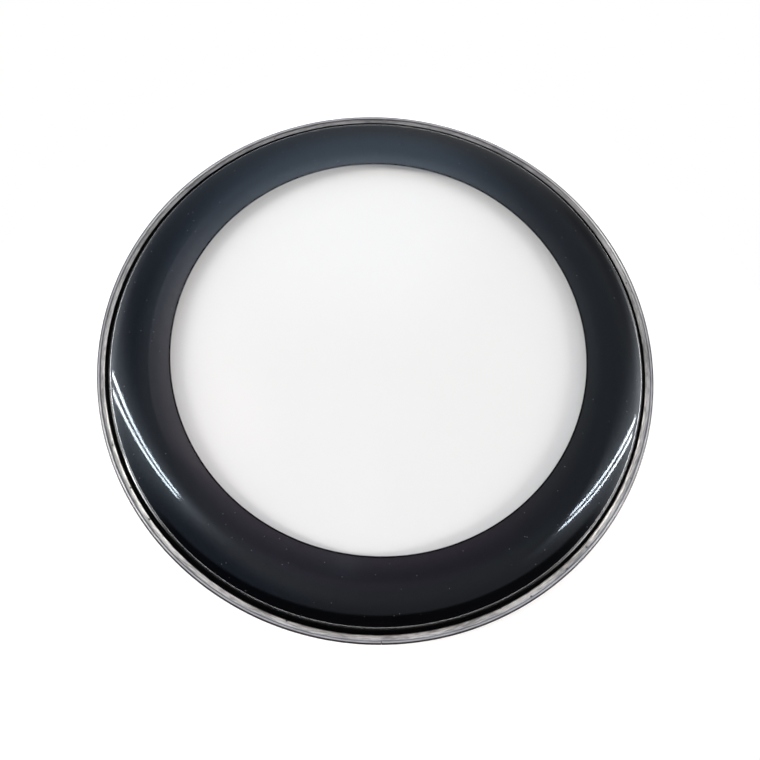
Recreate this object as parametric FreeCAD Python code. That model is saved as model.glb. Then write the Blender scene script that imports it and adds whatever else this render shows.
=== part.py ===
"""A 10-inch tom drum head: a clear film with a black ring ply under its edge, potted into an aluminium hoop.

Millimetres, +Z up. The origin is on the head's axis, in the plane that the hoop stands on, and the butt
joint of the hoop faces -Y. Every profile is drawn in the XZ half plane, X being the radius, and turned
about Z.
"""

import FreeCAD
import Part

import math
import os

from FreeCAD import Vector

# Drum shell that the head is pulled over
SHELL_DIAMETER = 254.0
SHELL_CLEARANCE = 0.5

# Aluminium hoop, a rolled channel whose outer wall thickens upwards, so that the resin can't pull out
HOOP_WIDTH = 6.5
HOOP_HEIGHT = 9.5
HOOP_FLOOR = 1.3
INNER_WALL = 0.8
INNER_WALL_DROP = 1.9
OUTER_WALL = 1.1
LIP_OVERHANG = 0.5
RIM_BEVEL = 0.5
LIP_BEVEL = 0.3
FOOT_BEVEL = 0.6
JOINT_GAP = 0.3

# Film and ring plies: thicknesses from the playing surface down, and the reach of the ring in from the shell
FILM_THICKNESS = 0.25
PLY_GAP = 0.1
RING_THICKNESS = 0.19
RING_REACH = 29.2

# Formed collar: a wide crown arc that leaves the flat, and the short steep wall that it meets at a crease
CROWN_RADIUS = 34.0
CROWN_SWEEP = 36.6
WALL_ANGLE = 80.0
WALL_HEIGHT = 1.1

# Foot of the collar: a slanting flange over the hoop's inner wall, then the hem down into the channel
FLANGE_LENGTH = 3.1
FLANGE_ANGLE = 40.0
FLANGE_DROP = 0.5
HEM_STANDOFF = 1.3
HEM_LIFT = 0.6

# Slots punched through both plies of the hem, which the resin runs through
ANCHOR_SLOTS = 24
ANCHOR_LENGTH = 5.0
ANCHOR_HEIGHT = 2.2

# Resin in the channel: its level below the hoop's top, and below the inner wall's top inside the hem
RESIN_DEPTH = 0.9
RESIN_INNER_DEPTH = 0.5

# Splice, a short bent strip on the channel's floor that holds the hoop's two ends in line
SPLICE_LENGTH = 36.0
SPLICE_THICKNESS = 1.0
SPLICE_CLEARANCE = 0.4

AXIS = Vector(0, 0, 1)
ORIGIN = Vector(0, 0, 0)

# Radii, heights and slopes that follow from the sizes above
bore_radius = SHELL_DIAMETER / 2 + SHELL_CLEARANCE
outer_radius = bore_radius + HOOP_WIDTH
channel_inner = bore_radius + INNER_WALL
channel_outer = outer_radius - OUTER_WALL
lip_edge = channel_outer - LIP_OVERHANG
inner_wall_top = HOOP_HEIGHT - INNER_WALL_DROP
stack_thickness = FILM_THICKNESS + PLY_GAP + RING_THICKNESS
window_radius = SHELL_DIAMETER / 2 - RING_REACH
hem_face = channel_inner + HEM_STANDOFF + stack_thickness
hem_end = HOOP_FLOOR + SPLICE_THICKNESS + HEM_LIFT
resin_level = HOOP_HEIGHT - RESIN_DEPTH
resin_inner_level = inner_wall_top - RESIN_INNER_DEPTH
crown_slope = math.radians(CROWN_SWEEP)
wall_slope = math.radians(WALL_ANGLE)
flange_slope = math.radians(FLANGE_ANGLE)
hem_slope = math.radians(90)


def point(radius, height):
    """A point of a profile, in the XZ half plane."""
    return Vector(radius, 0, height)


def normal(slope):
    """The outward normal of a surface that drops outwards at this slope."""
    return point(math.sin(slope), math.cos(slope))


def downhill(slope):
    """The direction down a surface that drops outwards at this slope."""
    return point(math.cos(slope), -math.sin(slope))


def mitre(slope, next_slope):
    """How a crease between two slopes moves for each millimetre of depth."""
    return (normal(slope) + normal(next_slope)) * (-1 / (1 + math.cos(slope - next_slope)))


def polygon(points):
    """Straight edges from each point to the next."""
    return [Part.LineSegment(a, b).toShape() for a, b in zip(points, points[1:])]


def bend(centre, radius, first, last):
    """An arc between two slopes."""
    slopes = (first, (first + last) / 2, last)
    return Part.Arc(*(centre + normal(slope) * radius for slope in slopes)).toShape()


def turned(edges, angle=360):
    """The closed outline of these edges, turned about the head's axis into a solid."""
    return Part.Face(Part.Wire(edges)).revolve(ORIGIN, AXIS, angle)


class Collar:
    """The formed shape that both plies share, worked out from the hem inwards along its outer face.

    Depth is measured square to that face, into the plies.
    """

    hem_crease = point(hem_face, HOOP_HEIGHT - FLANGE_DROP)
    flange_crease = hem_crease - downhill(flange_slope) * FLANGE_LENGTH
    wall_top = flange_crease - downhill(wall_slope) * (WALL_HEIGHT / math.sin(wall_slope))
    crown_centre = wall_top - normal(crown_slope) * CROWN_RADIUS
    playing_height = crown_centre.z + CROWN_RADIUS

    def crown_end(self, depth):
        """The slope at which the crown meets the wall, at this depth."""
        reach = CROWN_RADIUS * math.cos(wall_slope - crown_slope) - depth
        return wall_slope - math.acos(reach / (CROWN_RADIUS - depth))

    def side(self, depth, start_radius):
        """Edges of the profile at this depth, from a point on the flat out to the end of the hem."""
        height = self.playing_height - depth
        flat = polygon([point(start_radius, height), point(self.crown_centre.x, height)])
        radius = CROWN_RADIUS - depth
        crown_end = self.crown_end(depth)
        crown = bend(self.crown_centre, radius, 0, crown_end)
        foot = polygon([
            self.crown_centre + normal(crown_end) * radius,
            self.flange_crease + mitre(wall_slope, flange_slope) * depth,
            self.hem_crease + mitre(flange_slope, hem_slope) * depth,
            point(hem_face - depth, hem_end),
        ])
        return flat + [crown] + foot

    def ply(self, top, bottom, start_radius):
        """The solid between two depths, from this radius out to the end of the hem."""
        end = polygon([point(hem_face - top, hem_end), point(hem_face - bottom, hem_end)])
        start = polygon([point(start_radius, self.playing_height - bottom),
                         point(start_radius, self.playing_height - top)])
        return turned(self.side(top, start_radius) + end + self.side(bottom, start_radius)[::-1] + start)


def anchor_punches():
    """Flat punches through the hem, spread evenly, halfway between its end and the resin's inner level."""
    middle = (hem_end + resin_inner_level) / 2
    corner = Vector(hem_face - 2 * stack_thickness, -ANCHOR_LENGTH / 2, middle - ANCHOR_HEIGHT / 2)
    punch = Part.makeBox(3 * stack_thickness, ANCHOR_LENGTH, ANCHOR_HEIGHT, corner)
    punches = []
    for i in range(ANCHOR_SLOTS):
        copy = punch.copy()
        copy.rotate(ORIGIN, AXIS, (i + 0.5) * 360 / ANCHOR_SLOTS)
        punches.append(copy)
    return Part.makeCompound(punches)


def hoop_ring():
    """The rolled channel, closed all round."""
    return turned(polygon([
        point(bore_radius, 0),
        point(outer_radius - FOOT_BEVEL, 0),
        point(outer_radius, FOOT_BEVEL),
        point(outer_radius, HOOP_HEIGHT - RIM_BEVEL),
        point(outer_radius - RIM_BEVEL, HOOP_HEIGHT),
        point(lip_edge + LIP_BEVEL, HOOP_HEIGHT),
        point(lip_edge, HOOP_HEIGHT - LIP_BEVEL),
        point(channel_outer, HOOP_FLOOR),
        point(channel_inner, HOOP_FLOOR),
        point(channel_inner, inner_wall_top),
        point(bore_radius, inner_wall_top),
        point(bore_radius, 0),
    ]))


def butt_joint():
    """The cut that leaves the hoop's two ends facing each other at the front."""
    corner = Vector(-JOINT_GAP / 2, -outer_radius - HOOP_WIDTH / 2, -HOOP_HEIGHT / 2)
    return Part.makeBox(JOINT_GAP, 2 * HOOP_WIDTH, 2 * HOOP_HEIGHT, corner)


def splice():
    """The strip across the joint, bent to the channel's radius and lying on its floor."""
    inner = channel_inner + SPLICE_CLEARANCE
    outer = channel_outer - SPLICE_CLEARANCE
    top = HOOP_FLOOR + SPLICE_THICKNESS
    angle = math.degrees(SPLICE_LENGTH / ((inner + outer) / 2))
    strip = turned(polygon([point(inner, HOOP_FLOOR), point(outer, HOOP_FLOOR), point(outer, top),
                            point(inner, top), point(inner, HOOP_FLOOR)]), angle)
    strip.rotate(ORIGIN, AXIS, -90 - angle / 2)
    return strip


def resin(channel, punched_stack, strip):
    """What fills the channel round the hem. The hoop, the plies and the splice shape it from all sides."""
    floor = HOOP_FLOOR / 2
    inside = channel_inner - INNER_WALL / 2
    outside = channel_outer + OUTER_WALL / 2
    hem_middle = hem_face - stack_thickness / 2
    fill = turned(polygon([
        point(hem_middle, resin_level),
        point(hem_middle, resin_inner_level),
        point(inside, resin_inner_level),
        point(inside, floor),
        point(outside, floor),
        point(outside, resin_level),
        point(hem_middle, resin_level),
    ]))
    return fill.cut(channel).cut(punched_stack).cut(strip)


def main():
    collar = Collar()
    punches = anchor_punches()
    channel = hoop_ring()
    strip = splice()
    ring_top = FILM_THICKNESS + PLY_GAP
    stack = collar.ply(0, stack_thickness, window_radius).cut(punches)
    parts = {
        "batter_film": collar.ply(0, FILM_THICKNESS, 0).cut(punches),
        "black_ring": collar.ply(ring_top, stack_thickness, window_radius).cut(punches),
        "flesh_hoop": channel.cut(butt_joint()),
        "potting_resin": resin(channel, stack, strip),
        "hoop_splice": strip,
    }
    os.makedirs("parts", exist_ok=True)
    for name, shape in parts.items():
        shape.exportStep("parts/%s.step" % name)
        print("%s: %d solid, valid %s, %.1f mm3" % (name, len(shape.Solids), shape.isValid(), shape.Volume))
    print("flat radius %.2f, playing height %.2f" % (collar.crown_centre.x, collar.playing_height))
    print("wall top at radius %.2f, height %.2f" % (collar.wall_top.x, collar.wall_top.z))
    print("flange from radius %.2f, height %.2f" % (collar.flange_crease.x, collar.flange_crease.z))


main()
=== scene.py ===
# %% [markdown]
# A 10-inch tom drum head, dressed in Blender around its CAD frame: a clear film with a black ring under its
# edge, potted into an aluminium hoop. The CAD solids say where everything is. Here each visible piece gets
# rounder bends, a finish, and the small faults of a real one. Blender works in metres, +Z is up, and the
# hoop stands on the floor with its butt joint towards -Y.

# %% Load the frame
import math

import bmesh
import bpy
from mathutils import Matrix, Vector, noise


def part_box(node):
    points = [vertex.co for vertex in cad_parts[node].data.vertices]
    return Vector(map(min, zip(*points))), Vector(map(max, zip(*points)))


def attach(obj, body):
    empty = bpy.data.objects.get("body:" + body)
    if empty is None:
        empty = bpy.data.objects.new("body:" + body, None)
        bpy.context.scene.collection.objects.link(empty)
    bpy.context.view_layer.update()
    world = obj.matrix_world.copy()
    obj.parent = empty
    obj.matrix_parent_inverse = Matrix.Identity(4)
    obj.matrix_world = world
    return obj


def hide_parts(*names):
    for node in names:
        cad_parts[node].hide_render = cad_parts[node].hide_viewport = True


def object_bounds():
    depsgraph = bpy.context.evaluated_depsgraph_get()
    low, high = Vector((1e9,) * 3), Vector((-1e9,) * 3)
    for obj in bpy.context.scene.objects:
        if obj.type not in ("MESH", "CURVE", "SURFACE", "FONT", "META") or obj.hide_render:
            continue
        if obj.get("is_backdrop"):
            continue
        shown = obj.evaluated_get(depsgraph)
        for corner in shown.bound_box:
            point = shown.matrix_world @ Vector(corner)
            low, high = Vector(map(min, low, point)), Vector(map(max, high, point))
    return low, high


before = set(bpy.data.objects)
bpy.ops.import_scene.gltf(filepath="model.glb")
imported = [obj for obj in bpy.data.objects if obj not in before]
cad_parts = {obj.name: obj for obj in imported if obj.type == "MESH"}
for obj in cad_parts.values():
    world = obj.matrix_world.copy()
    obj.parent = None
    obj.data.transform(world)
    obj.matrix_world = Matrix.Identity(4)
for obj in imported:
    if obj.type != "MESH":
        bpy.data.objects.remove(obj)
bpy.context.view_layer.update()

# %% [markdown]
# ## Sizes
# The radii and heights that a piece shares with its neighbours come from the CAD boxes where they can. The
# few that no box shows, such as the slope of the collar's wall, are written here once, lengths in
# millimetres and slopes in degrees.

# %% Sizes
MM = 0.001
HOOP_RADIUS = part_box("flesh_hoop")[1].x
HOOP_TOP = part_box("flesh_hoop")[1].z
PLAYING_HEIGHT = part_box("batter_film")[1].z
RESIN_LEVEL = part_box("potting_resin")[1].z
HEM_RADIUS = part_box("batter_film")[1].x
HEM_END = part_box("batter_film")[0].z
FLAT_RADIUS = 107.3 * MM
CROWN_RADIUS = 34.0 * MM
WINDOW_RADIUS = 97.8 * MM
FILM_THICKNESS = 0.25 * MM
RING_DEPTH = 0.35 * MM
RING_THICKNESS = 0.19 * MM
BORE_RADIUS = 127.5 * MM
CROWN_SLOPE = math.radians(36.6)
WALL_SLOPE = math.radians(80)
FLANGE_SLOPE = math.radians(40)
HEM_SLOPE = math.radians(90)
FLANGE_DROP = 0.5 * MM
FLANGE_LENGTH = 3.1 * MM
HEM_CREASE = Vector((HEM_RADIUS, 0, HOOP_TOP - FLANGE_DROP))
print("hoop radius", HOOP_RADIUS, "playing height", PLAYING_HEIGHT)

# %% [markdown]
# ## Drawing a profile and turning it
# Every piece of a drum head is round, so each is drawn as a half section in the XZ plane and turned about Z.
# By hand one would put down a single point, extrude it along the section with E, and use Spin twice: once
# about the middle of a bend to draw an arc, and once about the head's axis to turn the section. These
# helpers do just that. A Screw modifier could do the second part, but Spin leaves a plain mesh to work on.

# %% Helpers for drawing a profile
SAME_PLACE = 1e-6


def normal(slope):
    """The outward normal of a surface that drops outwards at this slope."""
    return Vector((math.sin(slope), 0, math.cos(slope)))


def downhill(slope):
    """The direction down a surface that drops outwards at this slope."""
    return Vector((math.cos(slope), 0, -math.sin(slope)))


def begin(name, start):
    """One point, in edit mode, from which a profile is drawn."""
    bpy.ops.object.select_all(action="DESELECT")
    bpy.ops.mesh.primitive_plane_add(size=MM)
    piece = bpy.context.object
    piece.name = piece.data.name = name
    bpy.ops.object.mode_set(mode="EDIT")
    bpy.ops.mesh.merge(type="CENTER")
    bpy.ops.transform.translate(value=start)
    return piece


def pen(piece):
    """Where the point that is being drawn with stands."""
    shape = bmesh.from_edit_mesh(piece.data)
    return next(v.co.copy() for v in shape.verts if v.select)


def line_to(piece, *points):
    """Straight runs from the pen through these points."""
    for point in points:
        bpy.ops.mesh.extrude_vertices_move(TRANSFORM_OT_translate={"value": point - pen(piece)})


def bend_to(piece, centre, first, last, steps):
    """An arc about this centre, from one slope to another."""
    radius = (pen(piece) - centre).length
    wanted = centre + normal(last) * radius
    bpy.ops.mesh.spin(steps=steps, angle=last - first, center=centre, axis=(0, -1, 0))
    missed = (pen(piece) - wanted).length
    if missed > SAME_PLACE:
        raise ValueError("%s: the bend ends %.4f m from its place" % (piece.name, missed))


print("a bend has to end within", SAME_PLACE, "m of its place")

# %% Helpers for closing, rounding and turning a profile
ROUND_STEPS = 256
WELD = 1e-7


def draw_closed(name, corners):
    """A closed section through these corners, with its last point welded to its first."""
    piece = begin(name, corners[0])
    line_to(piece, *corners[1:], corners[0])
    bpy.ops.mesh.select_all(action="SELECT")
    bpy.ops.mesh.remove_doubles(threshold=WELD)
    return piece


def lies_at(corner, radius, height):
    """Whether a point of a section, turned or not, is this corner."""
    return abs(radius - corner.x) < SAME_PLACE and abs(height - corner.z) < SAME_PLACE


def soften(piece, corner, reach, segments=5):
    """Rounds one corner of a drawn profile."""
    bpy.ops.mesh.select_all(action="DESELECT")
    shape = bmesh.from_edit_mesh(piece.data)
    for v in shape.verts:
        v.select = lies_at(corner, math.hypot(v.co.x, v.co.y), v.co.z)
    shape.select_flush(True)
    bmesh.update_edit_mesh(piece.data)
    bpy.ops.mesh.bevel(offset=reach, segments=segments, affect="VERTICES")


def turn(piece, steps=ROUND_STEPS, angle=math.tau):
    """Turns the drawn profile about the head's axis and closes the seam and the pole."""
    bpy.ops.mesh.select_all(action="SELECT")
    bpy.ops.mesh.spin(steps=steps, angle=angle, center=(0, 0, 0), axis=(0, 0, -1))
    bpy.ops.mesh.select_all(action="SELECT")
    bpy.ops.mesh.remove_doubles(threshold=WELD)
    bpy.ops.mesh.normals_make_consistent(inside=False)


print("a full turn takes", ROUND_STEPS, "steps")

# %% Helper for a finished piece
SMOOTH_ANGLE = math.radians(40)


def finish_piece(piece, node):
    """Back to object mode, smooth where the bends are gentle, riding on the frame in place of its node."""
    bpy.ops.object.mode_set(mode="OBJECT")
    bpy.ops.object.shade_smooth_by_angle(angle=SMOOTH_ANGLE)
    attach(piece, "root")
    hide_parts(node)
    low = [min(v.co[k] for v in piece.data.vertices) / MM for k in range(3)]
    high = [max(v.co[k] for v in piece.data.vertices) / MM for k in range(3)]
    print(piece.name, len(piece.data.polygons), "faces, mm", [round(x, 2) for x in low + high])


# %% [markdown]
# ## The plies
# The film is one sheet of polyester, pressed hot over a former: flat in the middle, an arc over the shoulder,
# a tight bend, a short steep wall, a slanting flange over the hoop's inner wall, and a hem that goes down
# into the hoop. The ring is a second, black sheet that was formed together with it, so both are drawn by one
# function, at their depth under the film's face. Each is a turned sheet that Solidify gives its thickness.

# %% Bends of a ply
FLANGE_CREASE = HEM_CREASE - downhill(FLANGE_SLOPE) * FLANGE_LENGTH
CROWN_CENTRE = Vector((FLAT_RADIUS, 0, PLAYING_HEIGHT - CROWN_RADIUS))
SHOULDER_BEND = 2.5 * MM


def mitre(slope, next_slope):
    """How a crease between two slopes moves for each metre of depth."""
    return (normal(slope) + normal(next_slope)) * (-1 / (1 + math.cos(slope - next_slope)))


def crown_end(depth):
    """The slope at which an arc of the crown meets the wall, at this depth."""
    reach = CROWN_RADIUS * math.cos(WALL_SLOPE - CROWN_SLOPE) - depth
    return WALL_SLOPE - math.acos(reach / (CROWN_RADIUS - depth))


print("the crown meets the tight bend at", round(math.degrees(crown_end(SHOULDER_BEND)), 2), "degrees")

# %% Draw a ply
CROWN_STEPS = 44
SHOULDER_STEPS = 12
FLANGE_ROUND = 0.1 * MM
HEM_ROUND = 0.4 * MM


def face_up(piece):
    """Turns a sheet's faces over if its flat looks down, because Solidify works away from the normals."""
    highest = max(piece.data.polygons, key=lambda face: face.center.z)
    if highest.normal.z < 0:
        bpy.ops.object.mode_set(mode="EDIT")
        bpy.ops.mesh.select_all(action="SELECT")
        bpy.ops.mesh.flip_normals()
        bpy.ops.object.mode_set(mode="OBJECT")


def ply(name, start, depth, thickness):
    """A formed sheet whose upper face lies at this depth, from a start radius out to the end of the hem."""
    top = PLAYING_HEIGHT - depth
    piece = begin(name, Vector((start, 0, top)))
    if start < WINDOW_RADIUS:
        line_to(piece, Vector((WINDOW_RADIUS / 2, 0, top)), Vector((WINDOW_RADIUS, 0, top)))
    line_to(piece, Vector((FLAT_RADIUS, 0, top)))
    turn_slope = crown_end(SHOULDER_BEND)
    bend_to(piece, CROWN_CENTRE, 0, turn_slope, CROWN_STEPS)
    bend_centre = CROWN_CENTRE + normal(turn_slope) * (CROWN_RADIUS - SHOULDER_BEND)
    bend_to(piece, bend_centre, turn_slope, WALL_SLOPE, SHOULDER_STEPS)
    flange = FLANGE_CREASE + mitre(WALL_SLOPE, FLANGE_SLOPE) * depth
    hem = HEM_CREASE + mitre(FLANGE_SLOPE, HEM_SLOPE) * depth
    line_to(piece, flange, hem, Vector((HEM_RADIUS - depth, 0, HEM_END)))
    soften(piece, flange, FLANGE_ROUND)
    soften(piece, hem, HEM_ROUND)
    turn(piece)
    bpy.ops.object.mode_set(mode="OBJECT")
    face_up(piece)
    wall = piece.modifiers.new("thickness", "SOLIDIFY")
    wall.thickness = thickness
    wall.offset = -1
    wall.use_even_offset = True
    bpy.ops.object.modifier_apply(modifier=wall.name)
    return piece


# %% The clear film
film = ply("clear_film", 0.0, 0.0, FILM_THICKNESS)
finish_piece(film, "batter_film")

# %% The black ring
ring = ply("black_ring_ply", WINDOW_RADIUS, RING_DEPTH, RING_THICKNESS)
finish_piece(ring, "black_ring")

# %% [markdown]
# ## The hoop
# The hoop is an aluminium strip rolled into a channel and bent round until its ends meet. Its lip has soft
# rolled edges. The section is drawn corner by corner, every corner is rounded, most of all those that show,
# and the turn stops short of a full circle by the width of the joint. The two ends are then closed with a
# face each. Cutting the joint out of a full ring would do the same with one more mesh.

# %% The aluminium hoop
JOINT_GAP = 0.3 * MM
CHANNEL_FLOOR = 1.3 * MM
INNER_WALL_TOP = 7.6 * MM
INNER_WALL = 0.8 * MM
OUTER_WALL = 1.1 * MM
LIP_OVERHANG = 0.5 * MM
CHANNEL_INNER = BORE_RADIUS + INNER_WALL
CHANNEL_OUTER = HOOP_RADIUS - OUTER_WALL
LIP_EDGE = CHANNEL_OUTER - LIP_OVERHANG
FOOT_ROUND = 0.6 * MM
RIM_ROUND = 0.8 * MM
LIP_ROUND = 0.5 * MM
PLAIN_ROUND = 0.15 * MM
hoop_corners = [
    (Vector((BORE_RADIUS, 0, 0)), PLAIN_ROUND),
    (Vector((HOOP_RADIUS, 0, 0)), FOOT_ROUND),
    (Vector((HOOP_RADIUS, 0, HOOP_TOP)), RIM_ROUND),
    (Vector((LIP_EDGE, 0, HOOP_TOP)), LIP_ROUND),
    (Vector((CHANNEL_OUTER, 0, CHANNEL_FLOOR)), PLAIN_ROUND),
    (Vector((CHANNEL_INNER, 0, CHANNEL_FLOOR)), PLAIN_ROUND),
    (Vector((CHANNEL_INNER, 0, INNER_WALL_TOP)), PLAIN_ROUND),
    (Vector((BORE_RADIUS, 0, INNER_WALL_TOP)), PLAIN_ROUND),
]
hoop = draw_closed("hoop", [corner for corner, _ in hoop_corners])
for corner, reach in hoop_corners:
    soften(hoop, corner, reach, 4)
gap_angle = JOINT_GAP / HOOP_RADIUS
turn(hoop, angle=math.tau - gap_angle)
bpy.ops.mesh.select_mode(type="EDGE")
bpy.ops.mesh.select_all(action="DESELECT")
bpy.ops.mesh.select_non_manifold()
bpy.ops.mesh.edge_face_add()
bpy.ops.mesh.select_all(action="SELECT")
bpy.ops.mesh.normals_make_consistent(inside=False)
bpy.ops.mesh.select_mode(type="VERT")
bpy.ops.object.mode_set(mode="OBJECT")
hoop.rotation_euler.z = gap_angle / 2 - math.pi / 2
bpy.ops.object.transform_apply(location=False, rotation=True, scale=False)
finish_piece(hoop, "flesh_hoop")

# %% [markdown]
# ## The resin
# Grey resin fills the channel round the hem. It was poured, so its face sags between the film and the lip,
# rises a little to the lip, leaves a fine groove there, and creeps up the film in a ragged edge. The groove's
# darkness is painted shade in the resin's colour. The section is drawn with the groove for the hem, turned in
# fine steps, and its upper points are then moved a little by smooth noise that repeats after one turn. A
# Displace modifier would need a vertex group to leave the faces that touch the hoop alone.

# %% The potting resin
FIT = 0.02 * MM
STACK = RING_DEPTH + RING_THICKNESS
RESIN_INNER_LEVEL = 7.1 * MM
RESIN_STEPS = 1200
resin_outline = [
    (HEM_RADIUS + FIT, RESIN_LEVEL - 0.3 * MM),
    (HEM_RADIUS + FIT, HEM_END - FIT),
    (HEM_RADIUS - STACK - FIT, HEM_END - FIT),
    (HEM_RADIUS - STACK - FIT, RESIN_INNER_LEVEL),
    (CHANNEL_INNER + FIT, RESIN_INNER_LEVEL),
    (CHANNEL_INNER + FIT, CHANNEL_FLOOR + FIT),
    (CHANNEL_OUTER - FIT, CHANNEL_FLOOR + FIT),
    (LIP_EDGE - FIT, RESIN_LEVEL - 0.1 * MM),
    (LIP_EDGE - 0.10 * MM, RESIN_LEVEL + 0.2 * MM),
    (LIP_EDGE - 0.32 * MM, RESIN_LEVEL + 0.12 * MM),
    (131.7 * MM, RESIN_LEVEL),
    (131.2 * MM, RESIN_LEVEL - 0.05 * MM),
    (130.8 * MM, RESIN_LEVEL - 0.02 * MM),
    (130.45 * MM, RESIN_LEVEL + 0.08 * MM),
    (HEM_RADIUS + 0.12 * MM, RESIN_LEVEL + 0.25 * MM),
    (HEM_RADIUS - 0.02 * MM, HEM_CREASE.z + 0.03 * MM),
]
resin_points = [Vector((r, 0, z)) for r, z in resin_outline]
resin = draw_closed("potting", resin_points)
turn(resin, steps=RESIN_STEPS)
print("resin drawn with", len(resin_points), "corners")


# %% Ragged edge and uneven face of the resin
def ripple(angle, waves, seed):
    """Smooth noise from about -1 to 1 round the head, with this many waves in a turn."""
    reach = waves / math.tau
    return 2 * noise.noise(Vector((math.cos(angle) * reach, math.sin(angle) * reach, seed)))


CREEP_SHIFT = 0.35 * MM
LEAST_CREEP = -0.25 * MM
FACE_BOTTOM = RESIN_LEVEL - 0.26 * MM
FACE_START = HEM_RADIUS + 0.2 * MM
creep_edge = resin_points[-1]
creep_foot = resin_points[-2]
body = bmesh.from_edit_mesh(resin.data)
for v in body.verts:
    radius = math.hypot(v.co.x, v.co.y)
    angle = math.atan2(v.co.y, v.co.x)
    out = Vector((v.co.x, v.co.y, 0)) / radius
    if lies_at(creep_edge, radius, v.co.z):
        creep = 0.06 + 0.16 * ripple(angle, 40, 1.0) + 0.22 * ripple(angle, 170, 2.0)
        creep = max(creep * MM + CREEP_SHIFT * math.cos(angle), LEAST_CREEP)
        v.co -= out * creep * math.cos(FLANGE_SLOPE)
        v.co.z += creep * math.sin(FLANGE_SLOPE)
    elif lies_at(creep_foot, radius, v.co.z):
        v.co += out * MM * (0.06 + 0.08 * ripple(angle, 90, 3.0))
    elif v.co.z > FACE_BOTTOM and radius > FACE_START:
        v.co.z += MM * (0.07 * ripple(angle, 60, radius / MM) + 0.04 * ripple(angle, 240, radius / MM + 9))
bmesh.update_edit_mesh(resin.data)
finish_piece(resin, "potting_resin")

# %% [markdown]
# ## Finishes
# A finish is a small drawing of nodes. This class wraps one socket, so that a sum of masks can be written as
# a Python expression, and its node method adds any other node: its kind, its settings, and what goes into its
# sockets. Linking the nodes one by one would do the same in many more lines.


# %% A socket that can be reckoned with
class Signal:
    """One output socket of a node tree. Without a socket it is a blank sheet to draw nodes on."""

    def __init__(self, tree, socket=None):
        self.tree = tree
        self.socket = socket

    def node(self, kind, settings, sockets, output=0):
        """A new node of this kind, with other signals or plain values in its sockets."""
        made = self.tree.nodes.new(kind)
        for key, value in settings.items():
            setattr(made, key, value)
        for key, value in sockets.items():
            if isinstance(value, Signal):
                self.tree.links.new(value.socket, made.inputs[key])
            else:
                made.inputs[key].default_value = value
        return Signal(self.tree, made.outputs[output])

    def maths(self, operation, *values):
        """A Math node on these values."""
        return self.node("ShaderNodeMath", {"operation": operation}, dict(enumerate(values)))

    def __add__(self, other):
        return self.maths("ADD", self, other)

    def __radd__(self, other):
        return self.maths("ADD", other, self)

    def __sub__(self, other):
        return self.maths("SUBTRACT", self, other)

    def __rsub__(self, other):
        return self.maths("SUBTRACT", other, self)

    def __mul__(self, other):
        return self.maths("MULTIPLY", self, other)

    def __rmul__(self, other):
        return self.maths("MULTIPLY", other, self)

    def __truediv__(self, other):
        return self.maths("DIVIDE", self, other)

    def __pow__(self, other):
        return self.maths("POWER", self, other)

    def fade(self, low, high, start=0.0, end=1.0):
        """From start to end as this signal goes from low to high, with soft ends."""
        settings = {"interpolation_type": "SMOOTHSTEP"}
        return self.node("ShaderNodeMapRange", settings, {0: self, 1: low, 2: high, 3: start, 4: end})

    def sweep(self, low, high, start=0.0, end=1.0):
        """A fade of an angle, with its two ends in degrees."""
        return self.fade(math.radians(low), math.radians(high), start, end)

    def bell(self, sharpness):
        """1 where this signal is nought, and less and less to both sides."""
        return self.maths("EXPONENT", (self * self) * -sharpness)

    def blend(self, first, second):
        """A colour between two, by this signal."""
        return self.node("ShaderNodeMix", {"data_type": "RGBA"}, {0: self, 6: first, 7: second}, 2)


print("a signal can", [name for name in vars(Signal) if not name.startswith("_")])


# %% Helpers for finishes
def new_finish(name):
    """An empty material and the sheet its nodes are drawn on."""
    material = bpy.data.materials.new(name)
    material.use_nodes = True
    material.node_tree.nodes.clear()
    return material, Signal(material.node_tree)


def show(sheet, shader):
    """Ends a drawing: the shader that the surface shows."""
    end = sheet.tree.nodes.new("ShaderNodeOutputMaterial")
    sheet.tree.links.new(shader.socket, end.inputs["Surface"])


def split(sheet, vector):
    """The three parts of a vector."""
    return [sheet.node("ShaderNodeSeparateXYZ", {}, {0: vector}, k) for k in range(3)]


def around(sheet):
    """Object coordinates, split: the place, the radius, the height, and the direction round the head."""
    place = sheet.node("ShaderNodeTexCoord", {}, {}, "Object")
    x, y, z = split(sheet, place)
    radius = (x * x + y * y) ** 0.5
    return place, radius, z, x / radius, y / radius


def along(sheet, lengthwise, crosswise):
    """Coordinates for streaks that run round the head: slow along it, quick across it."""
    _, radius, height, east, north = around(sheet)
    across = (radius + height) * crosswise
    return sheet.node("ShaderNodeCombineXYZ", {}, {0: east * lengthwise, 1: north * lengthwise, 2: across})


def grain(sheet, place, scale, detail):
    """Smooth noise from 0 to 1."""
    return sheet.node("ShaderNodeTexNoise", {}, {"Vector": place, "Scale": scale, "Detail": detail}, "Fac")


def cells(sheet, place, scale, settings):
    """Scattered spots: how far a place is from the nearest one, and a number that each spot draws."""
    sockets = {"Vector": place, "Scale": scale}
    distance = sheet.node("ShaderNodeTexVoronoi", settings, sockets, "Distance")
    draw = sheet.node("ShaderNodeTexVoronoi", settings, sockets, "Color")
    return distance, draw


# %% [markdown]
# ## Clear film
# Real clear film lets nearly all light through and mirrors a few percent of it, more at a grazing angle. A
# glass shader would bend the light and throw a dark shadow, which a film this thin doesn't do. So the film
# is a mix of Transparent and Glossy, by how far the surface turns from the eye. Both faces of the sheet
# mirror, so each takes half of what the whole sheet does. Past the window the black ring lies right under
# the film and carries the gloss of both, because a mirror that is seen straight on has less grain than one
# that is mixed with a clear sheet.

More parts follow.
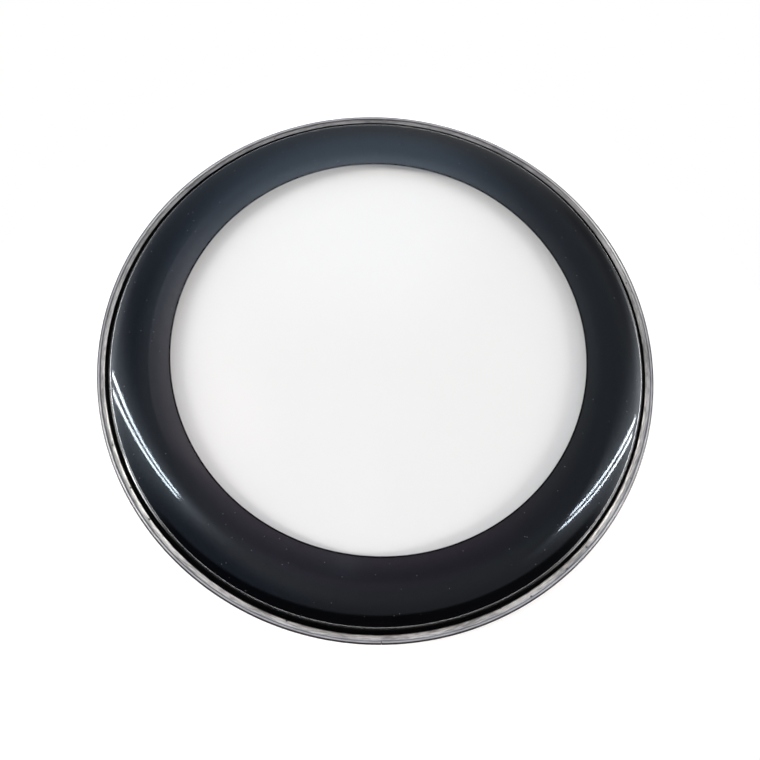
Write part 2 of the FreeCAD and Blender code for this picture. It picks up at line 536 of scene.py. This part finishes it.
# %% Clear film
WHITE = (1, 1, 1, 1)
FILM_MIRROR = 0.02
GRAZING_MIRROR = 0.5
FILM_COLOUR = (0.938, 0.936, 0.934, 1)
clear, sheet = new_finish("clear_polyester")
place, radius, *_ = around(sheet)
turned_away = sheet.node("ShaderNodeLayerWeight", {}, {"Blend": 0.5}, "Facing")
window = radius.fade(WINDOW_RADIUS + 0.5 * MM, WINDOW_RADIUS)
mirror = (FILM_MIRROR + (GRAZING_MIRROR - FILM_MIRROR) * turned_away ** 5) * window
haze = grain(sheet, place, 90.0, 4.0)
gloss = sheet.node("ShaderNodeBsdfGlossy", {}, {"Color": WHITE, "Roughness": 0.02 + 0.05 * haze})
through = sheet.node("ShaderNodeBsdfTransparent", {}, {"Color": FILM_COLOUR})
show(sheet, sheet.node("ShaderNodeMixShader", {}, {0: mirror, 1: through, 2: gloss}))
film.data.materials.append(clear)
print("finish", clear.name)

# %% [markdown]
# ## Black ring
# The ring is black film, pressed against the clear one. Together they look like black lacquer: a deep black
# under a sharp, faintly blue mirror, with a few specks of dust caught between the two. Towards the window the
# sheets lie loose and mirror more, and at the shoulder the film's own faces mirror most, so in both places
# the ring has a coat. At the cut edge and on the flange the sheets part, and the black is matt.

# %% Black ring
SHOULDER_START = 126.3 * MM
SHOULDER_END = 126.9 * MM
LOOSE_START = WINDOW_RADIUS + 9 * MM
LOOSE_END = WINDOW_RADIUS + 1 * MM
CUT_START = WINDOW_RADIUS + 0.85 * MM
CUT_END = WINDOW_RADIUS + 0.55 * MM
PARTED_START = 127.9 * MM
PARTED_END = 128.2 * MM
DUST_COLOUR = (0.07, 0.07, 0.08, 1)
MIRROR_TINT = (0.70, 0.84, 1.0, 1)
black, sheet = new_finish("black_polyester")
place, radius, *_ = around(sheet)
cloud = grain(sheet, place, 60.0, 3.0)
speck, speck_draw = cells(sheet, place, 190.0, {"voronoi_dimensions": "2D"})
dust = speck.fade(0.055, 0.025) * speck_draw.fade(0.72, 0.78)
deep = cloud.blend((0.0010, 0.0011, 0.0016, 1), (0.0022, 0.0023, 0.0030, 1))
shoulder = radius.fade(SHOULDER_START, SHOULDER_END)
loose = radius.fade(LOOSE_START, LOOSE_END)
lacquer = sheet.node("ShaderNodeBsdfPrincipled", {}, {
    "Base Color": dust.blend(deep, DUST_COLOUR), "Roughness": 0.055 + 0.03 * cloud, "IOR": 1.5,
    "Specular Tint": MIRROR_TINT, "Coat Weight": shoulder + 0.12 * loose, "Coat IOR": 2.5,
    "Coat Roughness": 0.03})
matt = sheet.node("ShaderNodeBsdfDiffuse", {}, {"Color": (0.002, 0.002, 0.002, 1)})
cut_edge = radius.fade(CUT_START, CUT_END)
flange = radius.fade(PARTED_START, PARTED_END)
parted = cut_edge.maths("MAXIMUM", cut_edge, flange)
show(sheet, sheet.node("ShaderNodeMixShader", {}, {0: parted, 1: lacquer, 2: matt}))
ring.data.materials.append(black)
print("finish", black.name)

# %% [markdown]
# ## Aluminium
# Rolled aluminium has fine lines along the strip, from the rollers, and duller patches where it was handled.
# Noise that is stretched round the hoop gives both the lines in the relief and the change in gloss. The
# rolled outer edge is painted darker: painted shade, a near-black line in the metal's colour. The lines are
# too fine to be modelled, so they are a bump. The splice strip inside the channel is the same metal.

# %% Aluminium
EDGE_START = HOOP_RADIUS - 0.95 * MM
EDGE_END = HOOP_RADIUS - 0.65 * MM
EDGE_FOOT = 8.3 * MM
EDGE_TOP = 8.9 * MM
# the colour of the painted shade on the rolled outer edge
EDGE_SHADE_COLOUR = (0.05, 0.05, 0.05, 1)
LINE_DEPTH = 0.05 * MM
aluminium, sheet = new_finish("rolled_aluminium")
_, radius, height, *_ = around(sheet)
lines = grain(sheet, along(sheet, 6.0, 9000.0), 1.0, 3.0)
patches = grain(sheet, along(sheet, 26.0, 500.0), 1.0, 4.0)
tone = (0.65 * lines + 0.6 * patches).fade(0.4, 0.85)
bright = tone.blend((0.32, 0.32, 0.325, 1), (0.56, 0.56, 0.565, 1))
# painted shade: the rolled outer edge's base colour is darkened to a near-black line
painted_edge_shade = radius.fade(EDGE_START, EDGE_END) * height.fade(EDGE_FOOT, EDGE_TOP)
relief = sheet.node("ShaderNodeBump", {}, {"Strength": 0.5, "Distance": LINE_DEPTH, "Height": lines})
show(sheet, sheet.node("ShaderNodeBsdfPrincipled", {}, {
    "Base Color": painted_edge_shade.blend(bright, EDGE_SHADE_COLOUR), "Metallic": 1.0,
    "Roughness": 0.26 + 0.20 * patches + 0.08 * lines, "Normal": relief,
    "Anisotropic": 0.7, "Anisotropic Rotation": 0.25}))
hoop.data.materials.append(aluminium)
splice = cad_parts["hoop_splice"]
splice.data.materials.clear()
splice.data.materials.append(aluminium)
print("finish", aluminium.name)

# %% [markdown]
# ## Resin
# The potting is a resin filled with aluminium powder, so it has some of the hoop's sheen: streaky along the
# channel and a little warm in places, with dark pinholes where bubbles broke. Three darker marks in its
# colour are painted shade: the far side is darker, a dark line runs along the fine groove where it has shrunk
# from the lip, and a black strip runs along the film. The film sits a little off centre in the channel, so
# the resin's edge on it lies further in on one side, and the painted black strip is widest there. The colours
# are mixed from one mask to the next, which keeps each mark on its own line.

# %% Grey resin
GROOVE_START = LIP_EDGE - 0.12 * MM
GROOVE_END = LIP_EDGE - 0.04 * MM
# the colour of the painted shade along the groove by the lip
GROOVE_SHADE_COLOUR = (0.24, 0.24, 0.24, 1)
# the colour of the painted shade in the gap between film and resin
GAP_SHADE_COLOUR = (0.006, 0.006, 0.006, 1)
PINHOLE_COLOUR = (0.03, 0.028, 0.026, 1)
STREAK_DEPTH = 0.12 * MM
grey, sheet = new_finish("grey_potting")
place, radius, _, east, north = around(sheet)
streaks = grain(sheet, along(sheet, 30.0, 2600.0), 1.0, 5.0)
blots = grain(sheet, place, 55.0, 4.0)
pore, pore_draw = cells(sheet, place, 420.0, {})
pinholes = pore.fade(0.34, 0.12) * pore_draw.fade(0.8, 0.86)
light = (0.7 * streaks + 0.5 * blots).fade(0.48, 0.72)
near_colour = light.blend((0.23, 0.227, 0.22, 1), (0.54, 0.53, 0.51, 1))
# painted shade: the resin on the far side gets a darker colour, about half as bright
far_shade_colour = light.blend((0.12, 0.12, 0.12, 1), (0.27, 0.265, 0.26, 1))
paint = north.fade(0.2, 0.75).blend(near_colour, far_shade_colour)
# painted shade: a dark line in the resin's colour along the fine groove by the lip
paint = radius.fade(GROOVE_START, GROOVE_END).blend(paint, GROOVE_SHADE_COLOUR)
# painted shade: the resin next to the film is painted black, widest on one side, for the dark gap between
# film and resin
gap_shade_edge = HEM_RADIUS + 0.08 * MM - CREEP_SHIFT * east
paint = (gap_shade_edge - radius).fade(0.0, 0.12 * MM).blend(paint, GAP_SHADE_COLOUR)
paint = pinholes.blend(paint, PINHOLE_COLOUR)
bumps = {"Strength": 0.8, "Distance": STREAK_DEPTH, "Height": streaks - 1.5 * pinholes}
show(sheet, sheet.node("ShaderNodeBsdfPrincipled", {}, {
    "Base Color": paint, "Metallic": 0.65, "Roughness": 0.30 + 0.25 * streaks,
    "Normal": sheet.node("ShaderNodeBump", {}, bumps), "Anisotropic": 0.6, "Anisotropic Rotation": 0.25}))
resin.data.materials.append(grey)
print("finish", grey.name)

# %% [markdown]
# ## Floor
# The head lies on a small white table, which keeps its shadow. A larger one would be mirrored in more of the
# black band's far side. The table's white is matt, and is lifted a little where it is seen, so that it runs
# into the white background. A stronger lamp would do that too, but would light the head as well.


# %% Floor
def matt_white(name, tone, lift):
    """A matt white for the set, lifted a little where it is seen or mirrored. The lift lights nothing."""
    finish, sheet = new_finish(name)
    seen = sheet.node("ShaderNodeLightPath", {}, {}, "Is Camera Ray")
    for kind in ("Is Glossy Ray", "Is Transmission Ray"):
        seen = seen.maths("MAXIMUM", seen, sheet.node("ShaderNodeLightPath", {}, {}, kind))
    matt = sheet.node("ShaderNodeBsdfDiffuse", {}, {"Color": (*tone, 1)})
    glow = sheet.node("ShaderNodeEmission", {}, {"Color": WHITE, "Strength": lift * seen})
    show(sheet, sheet.node("ShaderNodeAddShader", {}, {0: matt, 1: glow}))
    return finish


TABLE_RADIUS = 0.215
TABLE_CENTRE = (0, -0.040, -0.0001)
SET_STEPS = 128
bpy.ops.object.select_all(action="DESELECT")
bpy.ops.mesh.primitive_circle_add(
    vertices=SET_STEPS, radius=TABLE_RADIUS, fill_type="NGON", location=TABLE_CENTRE)
floor = bpy.context.object
floor.name = "floor"
floor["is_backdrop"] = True
floor.data.materials.append(matt_white("white_table", (0.86, 0.86, 0.86), 0.22))
print("floor radius", TABLE_RADIUS)

# %% [markdown]
# The white under the window lies only a few millimetres below the film, which its narrow shadow shows, so the
# head is laid over a low round pad of matt white. It belongs to the set and not to the head.

# %% White pad under the head
PAD_RADIUS = 116 * MM
PAD_TOP = 12.6 * MM
bpy.ops.object.select_all(action="DESELECT")
bpy.ops.mesh.primitive_cylinder_add(
    vertices=SET_STEPS, radius=PAD_RADIUS, depth=PAD_TOP, location=(0, 0, PAD_TOP / 2))
pad = bpy.context.object
pad.name = "white_pad"
pad.data.materials.append(matt_white("white_pad", (0.712, 0.722, 0.718), 0.16))
pad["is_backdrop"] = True
print("pad radius", PAD_RADIUS, "top", PAD_TOP)

# %% [markdown]
# ## Light
# A glossy black band shows the room more than itself, so the room is drawn as soft light that changes with
# the direction: its bearing, from north over east, and its height, both as angles. A photographed room would
# do this with a picture, and formulas keep it plain. The whole room and the camera are turned a little
# against the head, so that the hoop's joint comes where it is seen.

# %% Directions in the room
ROOM_TURN = math.radians(-7.7)
world = bpy.data.worlds.new("room")
bpy.context.scene.world = world
world.use_nodes = True
world.node_tree.nodes.clear()
sheet = Signal(world.node_tree)
way = sheet.node("ShaderNodeTexCoord", {}, {}, "Generated")
way = sheet.node("ShaderNodeVectorRotate", {"rotation_type": "Z_AXIS"}, {"Vector": way, "Angle": -ROOM_TURN})
east, north, rise = split(sheet, way)
bearing = sheet.maths("ARCTAN2", east, north)
height = sheet.maths("ARCSINE", rise)
overhead = height.sweep(38, 65)
print("room turned by", round(math.degrees(ROOM_TURN), 2), "degrees")

# %% [markdown]
# The room has an even light that is a little stronger overhead on the left and the near side. It is dark low
# down behind the viewer, and darker in the far right corner.

# %% Even light
base = 0.44 + 0.08 * east + overhead * (0.05 + 0.3 * east.fade(0.15, -0.3) + 0.14 * north.fade(0.05, -0.15))
to_viewer = 0.17 * east - 0.985 * north
dark_top = height - 0.6 * to_viewer
behind = 1 - 0.93 * ((1 - dark_top.sweep(7, 13)) * to_viewer.fade(0.27, 0.45))
corner = bearing.sweep(20, 38) * bearing.sweep(72, 56)
corner = 1 - 0.6 * corner * height.sweep(32, 6)
even = base * behind * corner
print("even light drawn")

# %% [markdown]
# The far wall glows, most high up, and less on its right. A pale, slightly pink panel with a slanting lower
# edge hangs on the left of it.

# %% Far wall and panel
FAR_TURN = 0.07
PANEL_SLANT = 0.44
aside = bearing + FAR_TURN
far_glow = aside.bell(3.0) * height.sweep(-8, 58, 0.0, 1.4) * bearing.sweep(2, 22, 1.0, 0.3)
far_glow = far_glow * height.sweep(60, 72, 1.0, 0.15)
skew = height + PANEL_SLANT * bearing
panel = bearing.sweep(-60, -57) * bearing.sweep(-25, -38) * skew.sweep(42, 43) * height.sweep(80, 72)
print("far wall and panel drawn")

# %% [markdown]
# At both sides, where the lamps stand, the walls shine low down. A narrow bright line just below the level of
# the head is mirrored in the collar's tight bend, and a soft glow round each pair of slanting lamps gives the
# streaks on the shoulder their halo.

# %% Walls by the lamps
LAMP_FOOT = math.radians(8)
HALO_SHIFT = math.radians(4)
to_right = bearing - math.radians(83)
to_left = bearing + math.radians(91)
sides = to_right.bell(8.0) + to_left.bell(8.0)
low_wall = 4.0 * height.sweep(20, -16)
low_line = 16.0 * height.sweep(-10, -7) * height.sweep(-1, -3)
lamp_slant = height - LAMP_FOOT
off_right = to_right - 0.48 * lamp_slant + HALO_SHIFT
off_left = to_left + 0.4 * lamp_slant - HALO_SHIFT
right_halo = off_right.bell(14.0) * height.sweep(54, 44)
left_halo = off_left.bell(14.0) * height.sweep(75, 58)
halo = 1.7 * (right_halo + left_halo) * height.sweep(-5, 8)
lamp_glow = sides * (low_wall + low_line) + halo
print("walls by the lamps drawn")

# %% [markdown]
# The light is a little warm on the near side, blue on the left, faintly purple straight overhead and cool at
# the far wall. The parts are added up. Where the camera looks past the table it sees plain white instead.


# %% The room put together
def glowing(colour, strength):
    """A part of the room's light."""
    return sheet.node("ShaderNodeEmission", {}, {"Color": colour, "Strength": strength})


west = east.fade(0.1, -0.5) * (1 - overhead)
room_colour = north.fade(0.05, -0.3).blend((1.0, 1.0, 1.02, 1), (1.08, 1.0, 0.97, 1))
room_colour = west.blend(room_colour, (0.88, 1.0, 1.2, 1))
room_colour = height.sweep(68, 80).blend(room_colour, (1.24, 1.0, 1.15, 1))
walls = glowing(room_colour, even)
lamp_walls = glowing(WHITE, lamp_glow)
far_wall = glowing((0.90, 1.05, 1.22, 1), far_glow)
left_panel = glowing((1.2, 0.88, 0.88, 1), panel * 0.58)
for part in (lamp_walls, far_wall, left_panel):
    walls = sheet.node("ShaderNodeAddShader", {}, {0: walls, 1: part})
camera_ray = sheet.node("ShaderNodeLightPath", {}, {}, "Is Camera Ray")
seen = sheet.node("ShaderNodeMixShader", {}, {0: camera_ray, 1: walls, 2: glowing(WHITE, 1.0)})
end = world.node_tree.nodes.new("ShaderNodeOutputWorld")
world.node_tree.links.new(seen.socket, end.inputs["Surface"])
print("room has", len(world.node_tree.nodes), "nodes")

# %% [markdown]
# ## Lamps
# Two pairs of long tube lamps slant upwards at the left and the right and draw the thin double streaks on the
# shoulder. Each is an area lamp as narrow as a tube, which faces the head. Emitting meshes would do the same
# with more grain.

# %% Tube lamps
TUBE_WIDTH = 0.040
TUBE_COLOUR = (1.0, 0.97, 0.92)
TUBE_GLOW = 44.0
tubes = {
    "left_far": ((-1.605, 0.090, 0.202), (-0.708, -0.279, 1.138)),
    "left_near": ((-1.605, -0.029, 0.218), (-0.766, -0.337, 1.092)),
    "right_far": ((1.584, 0.269, 0.204), (0.935, -0.209, 0.998)),
    "right_near": ((1.593, 0.161, 0.243), (0.934, -0.311, 0.977)),
}
room = Matrix.Rotation(ROOM_TURN, 3, "Z")


def stand(name, data, place, axes):
    """A lamp or a camera at its place in the scene, with its own X, Y and Z along these axes."""
    thing = bpy.data.objects.new(name, data)
    bpy.context.scene.collection.objects.link(thing)
    thing.matrix_world = Matrix.Translation(place) @ Matrix(axes).transposed().to_4x4()
    return thing


for name, ends in tubes.items():
    low, high = (room @ Vector(end) for end in ends)
    middle = (low + high) / 2
    lamp = bpy.data.lights.new("tube_" + name, "AREA")
    lamp.shape = "RECTANGLE"
    lamp.color = TUBE_COLOUR
    lamp.size = (high - low).length
    lamp.size_y = TUBE_WIDTH
    lamp.energy = TUBE_GLOW * math.pi * lamp.size * lamp.size_y
    length = (high - low).normalized()
    back = middle - length * middle.dot(length)
    back.normalize()
    stand("tube_" + name, lamp, middle, (length, back.cross(length), back))
    print("tube", name, "is", round(lamp.size, 2), "m long")

# %% [markdown]
# ## Camera
# The camera stands where the photograph was taken from: close, high and a little rolled. It was fitted to the
# outlines of the hoop and the window, two circles that it sees as ellipses. The view transform is Standard,
# so that a colour renders about as it is written.

# %% Camera
CAMERA_DISTANCE = 0.340
CAMERA_RISE = math.radians(69.76)
CAMERA_ROLL = math.radians(8.97)
AIM = Vector((1.91, -15.29, 9.0)) * MM
HOOP_EDGE = Vector((0, 0, 9.0)) * MM
eye = room @ (HOOP_EDGE + CAMERA_DISTANCE * Vector((0, -math.cos(CAMERA_RISE), math.sin(CAMERA_RISE))))
ahead = (room @ AIM - eye).normalized()
right = ahead.cross(Vector((0, 0, 1))).normalized()
up = right.cross(ahead)
rolled_right = math.cos(CAMERA_ROLL) * right + math.sin(CAMERA_ROLL) * up
rolled_up = math.cos(CAMERA_ROLL) * up - math.sin(CAMERA_ROLL) * right
lens = bpy.data.cameras.new("camera")
lens.sensor_width = 36.0
lens.lens = 33.23
lens.clip_start = 0.01
camera = stand("camera", lens, eye, (rolled_right, rolled_up, -ahead))
bpy.context.scene.camera = camera
bpy.context.scene.view_settings.view_transform = "Standard"
print("camera at", tuple(round(x, 3) for x in eye))

# %% [markdown]
# ## Sizes at the end
# The box of the dressed head is printed. The dressed head has to keep to the box of its solids.

# %% Sizes and finish
low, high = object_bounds()
print("visual box", tuple(low), tuple(high))
